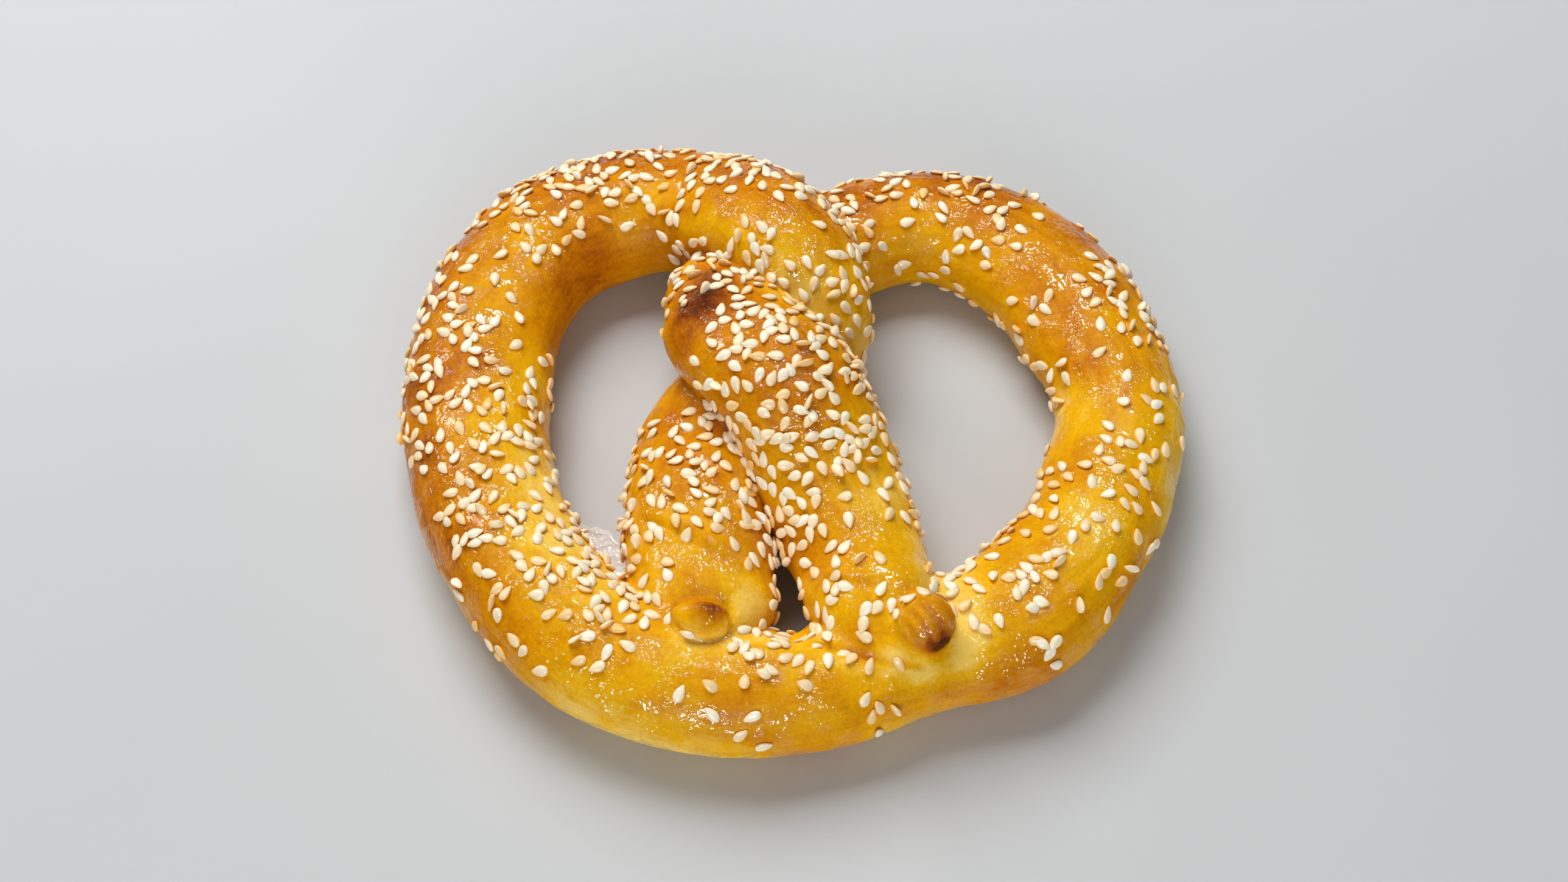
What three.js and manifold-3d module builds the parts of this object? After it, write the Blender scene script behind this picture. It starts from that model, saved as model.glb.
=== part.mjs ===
// Soft pretzel: one rope of dough laid in two lobes, crossed twice in the middle, with both
// ends pressed onto the front of the loop, and sesame seeds baked onto the crust.
// Millimetres, +Z up. The pretzel lies flat on z = 0 with the origin under its middle, its
// lobes to the left and right along X and the ends of the rope at the front, towards -Y.

import * as THREE from 'three';
import { mergeGeometries, mergeVertices } from 'three/addons/utils/BufferGeometryUtils.js';
import Module from 'manifold-3d';

const wasm = await Module();
wasm.setup();

// ---------------------------------------------------------------- driving dimensions

// Stations along the rope, from its left end to its right end:
// x, y, height of the middle of the rope, width across, thickness.
const LEFT_END = [
  [-17.1, -51.9, 18.0, 9.0, 8.0],
  [-17.3, -49.4, 16.5, 14.0, 12.0],
  [-17.4, -46.2, 13.5, 23.0, 17.0],
];
const LEFT_ARM = [
  [-18.1, -40.9, 10.5, 27.5, 21.0],
  [-18.6, -30.9, 9.8, 28.5, 22.0],
  [-19.3, -19.4, 9.8, 29.5, 22.0],
  [-17.3, -5.9, 9.3, 28.0, 21.0],
  [-14.1, 4.1, 8.8, 27.0, 20.0],
  [-6.3, 11.1, 9.0, 25.0, 20.0],
];
const UPPER_CROSSING = [
  [0.7, 17.1, 11.0, 25.0, 20.0],
  [3.2, 25.1, 16.0, 25.0, 20.0],
  [1.8, 33.1, 21.0, 26.0, 20.0],
  [-3.1, 40.6, 23.0, 26.0, 20.0],
  [-12.1, 50.5, 19.0, 27.0, 20.5],
  [-22.3, 56.5, 13.2, 28.0, 21.5],
];
const LEFT_LOBE = [
  [-38.8, 56.1, 10.0, 29.5, 22.0],
  [-53.3, 48.1, 9.8, 31.0, 22.5],
  [-62.1, 31.6, 9.8, 30.2, 22.0],
  [-64.3, 11.1, 9.8, 29.3, 22.0],
  [-62.3, -7.9, 9.8, 29.2, 22.0],
];
const FRONT = [
  [-57.3, -24.9, 9.8, 28.0, 22.0],
  [-46.8, -40.6, 9.8, 28.0, 22.0],
  [-30.8, -52.9, 9.3, 27.0, 21.0],
  [-10.8, -58.6, 9.0, 25.0, 20.5],
  [10.2, -55.9, 9.0, 25.0, 20.5],
  [26.2, -48.1, 9.0, 25.0, 20.5],
  [42.7, -41.4, 9.8, 28.3, 22.0],
  [55.2, -29.7, 9.8, 27.5, 22.0],
];
const RIGHT_LOBE = [
  [63.2, -11.9, 9.8, 27.0, 22.0],
  [66.2, 6.1, 9.5, 25.5, 21.0],
  [61.5, 25.6, 9.5, 28.5, 21.0],
  [52.0, 43.1, 9.3, 29.5, 20.5],
  [37.5, 52.8, 9.0, 27.0, 20.0],
  [25.2, 54.5, 8.8, 24.7, 19.5],
];
const LOWER_CROSSING = [
  [12.2, 51.4, 8.3, 25.0, 18.5],
  [0.2, 44.6, 8.3, 25.0, 18.5],
  [-9.8, 35.8, 11.0, 26.0, 19.0],
  [-13.6, 26.8, 16.5, 27.0, 19.5],
  [-12.6, 16.9, 22.0, 28.0, 20.0],
  [-7.5, 9.1, 24.3, 28.5, 20.0],
  [-1.5, 2.1, 24.2, 28.8, 20.5],
];
const RIGHT_ARM = [
  [3.6, -5.2, 20.0, 28.8, 21.0],
  [7.9, -15.2, 14.5, 28.3, 21.5],
  [11.4, -24.8, 12.0, 27.3, 21.5],
  [14.0, -34.2, 12.4, 25.5, 20.0],
];
const RIGHT_END = [
  [15.5, -42.1, 16.3, 24.0, 17.5],
  [18.7, -48.7, 20.3, 21.5, 14.5],
  [22.5, -51.1, 21.5, 16.5, 12.5],
  [25.9, -51.9, 22.3, 11.5, 11.0],
];

const RING_STEP = 5.6; // distance between cross-sections along the rope
const RING_SIDES = 14; // corners of one cross-section
const END_RINGS = 4; // cross-sections that close a rounded end

const SEED_LENGTH = 3.3;
const SEED_WIDTH = 2.0;
const SEED_THICKNESS = 1.1;
const SEED_LIFT = 0.12; // height of a seed's middle above the crust it is baked into
const SEED_GAP = 8.0; // least distance between the middles of two seeds
const SEED_COUNT = 135;
const SEED_DRAWS = 60000;
const SEED_LOWEST = 4.0; // no seeds sit lower on the flanks than this
const RANDOM_START = 20;

// ---------------------------------------------------------------- the rope

const STATIONS = [
  ...LEFT_END, ...LEFT_ARM, ...UPPER_CROSSING, ...LEFT_LOBE, ...FRONT,
  ...RIGHT_LOBE, ...LOWER_CROSSING, ...RIGHT_ARM, ...RIGHT_END,
];

const route = new THREE.CatmullRomCurve3(
  STATIONS.map(([x, y, z]) => new THREE.Vector3(x, y, z)), false, 'centripetal');
route.arcLengthDivisions = 2000;

// Width and thickness of the rope at curve parameter t, straight between the stations.
function sectionSize(t) {
  const place = t * (STATIONS.length - 1);
  const first = Math.min(Math.floor(place), STATIONS.length - 2);
  const [, , , wideA, tallA] = STATIONS[first];
  const [, , , wideB, tallB] = STATIONS[first + 1];
  const share = place - first;
  return {
    wide: THREE.MathUtils.lerp(wideA, wideB, share),
    tall: THREE.MathUtils.lerp(tallA, tallB, share),
  };
}

// One cross-section: its middle, its directions along, across and up, and its half sizes.
function sectionAt(u) {
  const along = route.getTangentAt(u);
  const across = new THREE.Vector3().crossVectors(along, new THREE.Vector3(0, 0, 1)).normalize();
  const { wide, tall } = sectionSize(route.getUtoTmapping(u));
  return {
    middle: route.getPointAt(u),
    along,
    across,
    up: new THREE.Vector3().crossVectors(across, along),
    halfWide: wide / 2,
    halfTall: tall / 2,
  };
}

function ringOf(section) {
  const corners = [];
  for (let i = 0; i < RING_SIDES; i += 1) {
    const angle = (2 * Math.PI * i) / RING_SIDES;
    corners.push(section.middle.clone()
      .addScaledVector(section.across, section.halfWide * Math.cos(angle))
      .addScaledVector(section.up, section.halfTall * Math.sin(angle)));
  }
  return corners;
}

// Shrinking cross-sections that round off an end of the rope, from the rope outwards.
function roundEnd(section, direction) {
  const reach = 0.9 * Math.min(section.halfWide, section.halfTall);
  const sections = [];
  for (let i = 1; i <= END_RINGS; i += 1) {
    const angle = (Math.PI / 2) * (i / (END_RINGS + 0.5));
    sections.push({
      ...section,
      middle: section.middle.clone().addScaledVector(section.along, direction * reach * Math.sin(angle)),
      halfWide: section.halfWide * Math.cos(angle),
      halfTall: section.halfTall * Math.cos(angle),
    });
  }
  return sections;
}

// A closed skin through a row of cross-sections, with a flat fan at each end.
function skin(sections) {
  const rings = sections.map(ringOf);
  const points = rings.flat();
  const faces = [];
  for (let ring = 0; ring + 1 < rings.length; ring += 1) {
    for (let i = 0; i < RING_SIDES; i += 1) {
      const a = ring * RING_SIDES + i;
      const b = ring * RING_SIDES + ((i + 1) % RING_SIDES);
      faces.push(a, b + RING_SIDES, b, a, a + RING_SIDES, b + RING_SIDES);
    }
  }
  const start = points.push(sections[0].middle) - 1;
  const finish = points.push(sections.at(-1).middle) - 1;
  const last = (rings.length - 1) * RING_SIDES;
  for (let i = 0; i < RING_SIDES; i += 1) {
    const next = (i + 1) % RING_SIDES;
    faces.push(start, i, next);
    faces.push(finish, last + next, last + i);
  }
  const geometry = new THREE.BufferGeometry().setFromPoints(points);
  geometry.setIndex(faces);
  return geometry;
}

const ringCount = Math.round(route.getLength() / RING_STEP);
const sections = [];
for (let i = 0; i <= ringCount; i += 1) {
  sections.push(sectionAt(i / ringCount));
}

// The cross-section nearest to one station, where the rope is cut into stretches.
function sectionNear([x, y, z]) {
  const place = new THREE.Vector3(x, y, z);
  let nearest = 0;
  for (let i = 1; i < sections.length; i += 1) {
    if (sections[i].middle.distanceTo(place) < sections[nearest].middle.distanceTo(place)) {
      nearest = i;
    }
  }
  return nearest;
}

// ---------------------------------------------------------------- solids

function solidOf(geometry) {
  const bare = geometry.clone();
  bare.deleteAttribute('normal');
  bare.deleteAttribute('uv');
  const merged = mergeVertices(bare);
  return new wasm.Manifold(new wasm.Mesh({
    numProp: 3,
    vertProperties: new Float32Array(merged.attributes.position.array),
    triVerts: new Uint32Array(merged.index.array),
  }));
}

function geometryOf(solid) {
  const mesh = solid.getMesh();
  const geometry = new THREE.BufferGeometry();
  const places = new Float32Array(mesh.numVert * 3);
  for (let i = 0; i < mesh.numVert; i += 1) {
    places.set(mesh.vertProperties.subarray(i * mesh.numProp, i * mesh.numProp + 3), i * 3);
  }
  geometry.setAttribute('position', new THREE.BufferAttribute(places, 3));
  geometry.setIndex(new THREE.BufferAttribute(new Uint32Array(mesh.triVerts), 1));
  geometry.computeVertexNormals();
  return geometry;
}

// The rope crosses itself, so it is joined from three stretches that each keep clear of
// themselves, and the soft underside is cut off level with the table.
function doughSolid() {
  const firstCut = sectionNear(LEFT_LOBE.at(-1));
  const secondCut = sectionNear(RIGHT_LOBE[0]);
  const leftStretch = [
    ...roundEnd(sections[0], -1).reverse(), ...sections.slice(0, firstCut + 1),
  ];
  const frontStretch = sections.slice(firstCut, secondCut + 1);
  const rightStretch = [
    ...sections.slice(secondCut), ...roundEnd(sections.at(-1), 1),
  ];
  const table = new THREE.BoxGeometry(400, 400, 40).translate(0, 0, -20);
  return solidOf(skin(leftStretch))
    .add(solidOf(skin(frontStretch)))
    .add(solidOf(skin(rightStretch)))
    .subtract(solidOf(table));
}

// ---------------------------------------------------------------- seeds

// Repeatable random numbers from 0 to 1.
let randomState = RANDOM_START;
function random() {
  randomState = (Math.imul(randomState, 1664525) + 1013904223) >>> 0;
  return randomState / 2 ** 32;
}

// A flat teardrop along X, round at one end and drawn to a point at the other.
function seedGeometry() {
  const seed = new THREE.SphereGeometry(1, 5, 4).rotateZ(-Math.PI / 2);
  const place = seed.attributes.position;
  for (let i = 0; i < place.count; i += 1) {
    const x = place.getX(i);
    const taper = 1 - 0.38 * Math.max(x, 0);
    place.setXYZ(i, (x * SEED_LENGTH) / 2, (place.getY(i) * taper * SEED_WIDTH) / 2,
      (place.getZ(i) * taper * SEED_THICKNESS) / 2);
  }
  return seed;
}

// How thickly the seeds lie, from 0 to 1: most on the twist and the left, fewest in front.
function seedShare({ x, y }) {
  const twist = Math.exp(-(((x + 6) / 26) ** 2) - ((y - 4) / 42) ** 2);
  const left = x < -30 ? 0.35 : 0;
  const front = y < -48 ? -0.25 : 0;
  return 0.45 + 0.55 * twist + left + front;
}

function isInsideRope(place, ownIndex) {
  return sections.some((section, index) => {
    if (Math.abs(index - ownIndex) * RING_STEP < 45) {
      return false;
    }
    const away = place.clone().sub(section.middle);
    const across = away.dot(section.across) / (section.halfWide + SEED_WIDTH / 2);
    const up = away.dot(section.up) / (section.halfTall + SEED_WIDTH / 2);
    return Math.abs(away.dot(section.along)) < RING_STEP && Math.hypot(across, up) < 1;
  });
}

// Seeds lie flat on randomly drawn facets of the rope, pointing any way, apart from each
// other and clear of the strands that cross over.
function seedsGeometry() {
  const rings = sections.map(ringOf);
  const seed = seedGeometry();
  const placed = [];
  const seeds = [];
  for (let draw = 0; draw < SEED_DRAWS && seeds.length < SEED_COUNT; draw += 1) {
    const ring = Math.floor(random() * (rings.length - 1));
    const side = Math.floor(random() * RING_SIDES);
    const next = (side + 1) % RING_SIDES;
    const spread = 0.2 + 0.6 * random();
    const turn = 2 * Math.PI * random();
    const chance = random();
    const [a, b, c] = [rings[ring][side], rings[ring][next], rings[ring + 1][side]];
    const d = rings[ring + 1][next];
    const place = a.clone().lerp(d, spread);
    if (place.z < SEED_LOWEST || chance > seedShare(place)) {
      continue;
    }
    if (placed.some((other) => other.distanceTo(place) < SEED_GAP) || isInsideRope(place, ring)) {
      continue;
    }
    const normal = d.clone().sub(a).cross(b.clone().sub(c)).normalize();
    if (normal.dot(place.clone().sub(sections[ring].middle)) < 0) {
      normal.negate();
    }
    const flat = new THREE.Quaternion().setFromUnitVectors(new THREE.Vector3(0, 0, 1), normal);
    const spin = new THREE.Quaternion().setFromAxisAngle(new THREE.Vector3(0, 0, 1), turn);
    const middle = place.clone().addScaledVector(normal, SEED_LIFT);
    const matrix = new THREE.Matrix4().compose(middle, flat.multiply(spin), new THREE.Vector3(1, 1, 1));
    placed.push(place);
    seeds.push(seed.clone().applyMatrix4(matrix));
  }
  return mergeGeometries(seeds);
}

// ---------------------------------------------------------------- the part

const crust = new THREE.MeshStandardMaterial({ color: 0xc98a2e, roughness: 0.35, metalness: 0 });
const pretzel = new THREE.Mesh(geometryOf(doughSolid().add(solidOf(seedsGeometry()))), crust);
pretzel.name = 'pretzel';

const part = new THREE.Group();
part.add(pretzel);

export default part;
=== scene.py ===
"""A soft pretzel: one rope of egg-glazed dough with a twist and both ends pressed onto
the front of the loop, strewn with sesame seeds. All sizes inside are in millimetres
until a mesh is made, and every mesh is in metres, in the frame of the CAD part."""

import math

import bpy
import numpy as np
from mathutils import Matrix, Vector


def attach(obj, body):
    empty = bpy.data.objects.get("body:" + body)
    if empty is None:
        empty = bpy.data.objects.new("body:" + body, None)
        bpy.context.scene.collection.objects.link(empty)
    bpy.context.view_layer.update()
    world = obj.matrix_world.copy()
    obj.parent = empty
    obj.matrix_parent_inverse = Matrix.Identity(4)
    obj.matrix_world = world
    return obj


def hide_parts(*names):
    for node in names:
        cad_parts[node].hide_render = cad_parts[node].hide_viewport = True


bl_info = {
    "name": "Soft pretzel",
    "version": (1, 0, 0),
    "blender": (4, 5, 0),
    "location": "View3D > Sidebar > Pretzel",
    "description": "Bakes a glazed soft pretzel with sesame seeds around its CAD frame",
    "category": "Add Mesh",
}

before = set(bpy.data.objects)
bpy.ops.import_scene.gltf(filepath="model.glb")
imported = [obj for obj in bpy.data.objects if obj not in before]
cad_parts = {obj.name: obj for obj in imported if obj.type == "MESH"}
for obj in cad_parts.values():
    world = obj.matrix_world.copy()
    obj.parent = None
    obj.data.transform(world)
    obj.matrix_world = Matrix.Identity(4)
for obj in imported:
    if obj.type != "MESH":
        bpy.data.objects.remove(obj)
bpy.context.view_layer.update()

MM = 0.001
BODY = "root"
NODE = "pretzel"
RANDOM_START = 20

# ---------------- the rope

# Stations along the rope: x, y, height of the middle, width, thickness.
STATIONS = np.array([
    # left end
    (-17.8, -49, 14.6, 9.4, 8.4), (-17.7, -47, 13.2, 16, 12.5), (-17.6, -44.6, 11.8, 24.5, 17.4),
    # left arm
    (-18.1, -40.9, 10.5, 27.5, 21), (-18.6, -30.9, 9.8, 28.5, 22), (-19.3, -19.4, 9.8, 29.5, 22),
    (-17.3, -5.9, 9.3, 28, 21), (-14.1, 4.1, 8.8, 27, 20), (-6.3, 11.1, 9, 25, 20),
    # upper crossing
    (0.7, 17.1, 11, 25, 20), (3.2, 25.1, 16, 25, 20), (1.8, 33.1, 21, 26, 20),
    (-3.1, 40.6, 23, 26, 20), (-12.1, 50.5, 19, 27, 20.5), (-22.3, 56.5, 13.2, 28, 21.5),
    # left loop
    (-38.8, 56.1, 10, 29.5, 22), (-53.3, 48.1, 9.8, 31, 22.5), (-62.1, 31.6, 9.8, 30.2, 22),
    (-64.3, 11.1, 9.8, 29.3, 22), (-62.3, -7.9, 9.8, 29.2, 22),
    # front
    (-57.3, -24.9, 9.8, 28, 22), (-46.8, -40.6, 9.8, 28, 22), (-30.8, -52.9, 9.3, 27, 21),
    (-10.8, -58.6, 9, 25, 20.5), (10.2, -55.9, 9, 25, 20.5), (26.2, -48.1, 9, 25, 20.5),
    (42.7, -41.4, 9.8, 28.3, 22), (55.2, -29.7, 9.8, 27.5, 22),
    # right loop
    (63.2, -11.9, 9.8, 27, 22), (66.2, 6.1, 9.5, 25.5, 21), (61.5, 25.6, 9.5, 28.5, 21),
    (52, 43.1, 9.3, 29.5, 20.5), (37.5, 52.8, 9, 27, 20), (25.2, 54.5, 8.8, 24.7, 19.5),
    # lower crossing
    (12.2, 51.4, 8.3, 25, 18.5), (0.2, 44.6, 8.3, 25, 18.5), (-9.8, 35.8, 11, 26, 19),
    (-13.6, 26.8, 16.5, 27, 19.5), (-12.6, 16.9, 22, 28, 20), (-7.5, 9.1, 24.3, 28.5, 20),
    (-1.5, 2.1, 24.2, 28.8, 20.5),
    # right arm
    (3.6, -5.2, 20, 28.8, 21), (7.9, -15.2, 14.5, 28.3, 21.5), (11.4, -24.8, 12, 27.3, 21.5),
    (14, -34.2, 12.4, 25.5, 20),
    # right end
    (15.5, -41.6, 15, 24, 17.5), (17.8, -46.8, 16.2, 21, 13.5), (21.2, -50, 16.2, 15.5, 10.5),
    (25.2, -51.6, 16.4, 10, 8),
])

# The pinched tips of the two ends: x, y, z, half sizes, and how softly each one joins on.
TIPS = [
    (24.5, -51.2, 22, 6.3, 6.2, 5.9, 1),
    (-17.6, -48.8, 17.2, 5.4, 4.2, 5.8, 0.9),
]

# Where the rope swells or, below zero, shrinks: x, y, z, reach and height.
SWELLS = [
    (46, -58, 8, 11, 1.3), (35, -61, 9, 8, 0.8), (68, -36, 8, 10, -1.2), (0, -70, 8, 18, -0.7),
    (22, -66, 8, 9, -0.9), (-50, -58, 9, 11, 0.9), (-79, 4, 9, 15, 1), (-77, -20, 9, 10, 0.6),
    (-69, -38, 8, 8, -0.6), (-48.5, -3, 9, 10, -0.8), (-26.5, 22, 21, 8, -1.3),
    (-31, 0, 10, 8, 1), (-34, -19, 10, 7, -0.9), (-34, -37, 10, 6, -1), (79.5, 6, 10, 14, 1.1),
    (54, 10, 12, 8, -1.3), (62, 50, 12, 12, -0.6), (26, 42, 9, 10, -0.7), (25, -26, 12, 12, -0.8),
    (33, -38.5, 11, 6, -1.8), (-6, -29, 11, 6, 0.9), (0, -31, 11, 6, 0.9), (-40, 71, 10, 14, 0.8),
    (30, 66, 10, 14, 0.6), (-4, 54, 22, 9, -0.8), (1, -46.5, 8, 6, -1.2),
    (0.5, -48.5, 15, 4.6, -3.2), (6.8, -46, 12, 3.6, 2.2), (-17.5, -52.8, 17, 3.2, -1),
    (6.5, -42, 11, 6, 1.9), (-6, -42, 10, 6, 1.9),
]

# Folds in the skin: width, height (a crease is below zero), and the points it runs through.
FOLDS = [
    (1.2, 0.95, (-22.2, -47.8, 20.4), (-17.5, -48.4, 22.4), (-13.2, -48.2, 20.4)),
    (0.7, -0.65, (-21.9, -50.4, 20.4), (-20.3, -52.4, 19.6), (-17.4, -53, 18.8),
     (-13.5, -52, 18.4)),
    (1.1, -0.7, (-11.8, -44.5, 20.5), (-12.6, -49, 17.5), (-13.4, -52, 16)),
    (1.1, -0.45, (-23, -46.5, 19.5), (-22.6, -50.5, 17)),
    (1.5, 0.6, (-28, -24, 18), (-21, -28.5, 20.8), (-13.5, -33.5, 20.3), (-7, -40, 15)),
    (1, -0.45, (-28, -26.5, 18), (-21, -31, 20.8), (-13.5, -36, 20)),
    (0.8, -1.3, (3.4, -52.9, 18.2), (8.2, -54.9, 19), (12.9, -56.1, 18.6), (18.6, -57.4, 18.4),
     (24, -57.8, 17.6)),
    (0.8, 0.4, (6.5, -39, 20.5), (10.5, -41, 22.8), (14, -41.8, 23.6)),
    (0.9, -0.35, (7, -40.5, 20.5), (11, -42.6, 22.4), (15, -43.6, 23.4)),
    (0.8, 0.3, (16, -63, 16.3), (24, -62.8, 15.8), (31, -59.5, 15.6)),
    (1.2, 0.35, (58, 22, 20), (54.5, 12, 16), (55, 2, 16)),
]

SAMPLE_STEP = 1.0  # distance between two samples of the rope
CURVE_PARTS = 60  # in how many parts the curve between two stations is followed
SAME_STRAND = 40.0  # rope nearer than this along its length counts as the same strand
SKIN_REACH = 4.5  # how far off the rope's skin its height is worked out
BELOW_TABLE = 2.0  # how far under the table the grid starts
PRESSED_PLACE = (24.0, -57.0)  # where the right end is pressed softly onto the loop
PRESSED_REACH = (12.0, 8.0)
SLOPE_STEP = 0.7  # how far apart, in grid steps, a slope is measured
EVENING_ROUNDS = 4  # how often the vertices slide to even distances
EVENING_SHARE = 0.6  # share of the way that a vertex slides in one round
LEAST_SLOPE = 0.2

# The unevenness of the skin, which is more wrinkled in some areas than in others.
GRAIN_HEIGHT = 0.05
WRINKLED_GAIN = 1.6
LEAST_WRINKLED = 0.4
FLAT_HEIGHT = 0.3  # the flat underside reaches up to here
FADE_HEIGHT = 3.0  # and the unevenness is full this much higher

# The curved ridges in the knob on the right end.
KNOB = (26.5, -52.0, 26.0)
KNOB_REACH = 5.0
RIDGE_MIDDLE = (19.5, -54.5, 22.0)
RIDGE_GAP = 2.3
RIDGE_HEIGHT = 0.35

# ---------------- how it is baked, and where shade and light are painted

# How well the crust is baked, from 0 to 1, with painted shade and painted light mixed in: what
# adds to it and what takes from it.
SIDE_BAKE = 0.32
# Level tops are browner, partly baked colour and partly painted shade against the light from
# above; the sides stay paler, a painted light.
TOP_BAKE_AND_SHADE = 0.10
BROAD_BAKE = 0.09
FINE_BAKE = 0.06
RIDGE_PALING = 0.12
# Folds are browner: on their ridges as baked colour, in their creases as painted shade.
FOLD_BAKE_AND_SHADE = 0.20
# Where two strands meet, the crease between them is darkened as painted shade.
PAINTED_CREASE_SHADE = 0.10
CREASE_REACH = 3.5  # how near the next strand is where a crease gets painted shade
UNDER_BAKE = 0.22
UNDER_HEIGHT = 2.5  # the underside's browning ends at this height

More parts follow.
